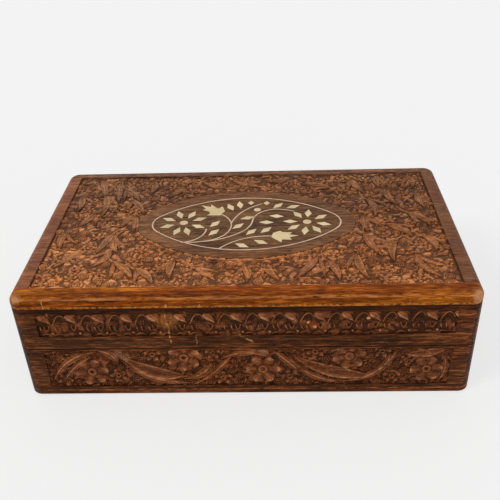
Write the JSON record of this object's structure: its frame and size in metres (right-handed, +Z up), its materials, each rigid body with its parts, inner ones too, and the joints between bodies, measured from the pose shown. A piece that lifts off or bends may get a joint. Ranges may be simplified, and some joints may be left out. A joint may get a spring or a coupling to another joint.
{
  "type": "keepsake box",
  "caption": "Low rectangular hardwood keepsake box, carved all round, with a bone-inlaid hinged lid that opens backwards and a velvet-lined inside.",
  "frame": {"origin": "middle of the underside, where the box rests", "axes": "+X to the right along the long side, -Y to the front, +Z up through the lid"},
  "size_m": [0.254, 0.149, 0.07],
  "materials": {
    "sheesham": "worn satin, carved",
    "bone": "polished bone, let in flush",
    "bone_tulip": "polished bone with a pale green tint",
    "brass": "aged brass",
    "velvet": "short velvet pile on card"
  },
  "bodies": {
    "base": {"base_front_wall": "sheesham", "base_back_wall": "sheesham", "base_left_wall": "sheesham", "base_right_wall": "sheesham", "bottom_board": "sheesham", "bottom_brads": "brass", "base_floor_lining": "velvet", "base_front_lining": "velvet", "base_back_lining": "velvet", "base_left_lining": "velvet", "base_right_lining": "velvet", "left_hinge_lower_leaf": "brass", "right_hinge_lower_leaf": "brass", "left_hinge_pin": "brass", "right_hinge_pin": "brass", "lower_hinge_screws": "brass"},
    "lid": {"lid_front_wall": "sheesham", "lid_back_wall": "sheesham", "lid_left_wall": "sheesham", "lid_right_wall": "sheesham", "lid_front_rail": "sheesham", "lid_back_rail": "sheesham", "lid_left_rail": "sheesham", "lid_right_rail": "sheesham", "lid_panel": "sheesham", "inlay_border": "bone", "inlay_stems": "bone", "inlay_left_rosette": "bone", "inlay_right_rosette": "bone", "inlay_left_tulip": "bone_tulip", "inlay_right_tulip": "bone_tulip", "inlay_leaves": "bone", "lid_ceiling_lining": "velvet", "lid_front_lining": "velvet", "lid_back_lining": "velvet", "lid_left_lining": "velvet", "lid_right_lining": "velvet", "left_hinge_upper_leaf": "brass", "right_hinge_upper_leaf": "brass", "upper_hinge_screws": "brass"}
  },
  "joints": [
    {"name": "lid_hinge", "type": "hinge", "parent": "base", "child": "lid", "pos_m": [0, 0.0721, 0.0354], "axis": [-1, 0, 0], "range_deg": [0, 100]}
  ]
}
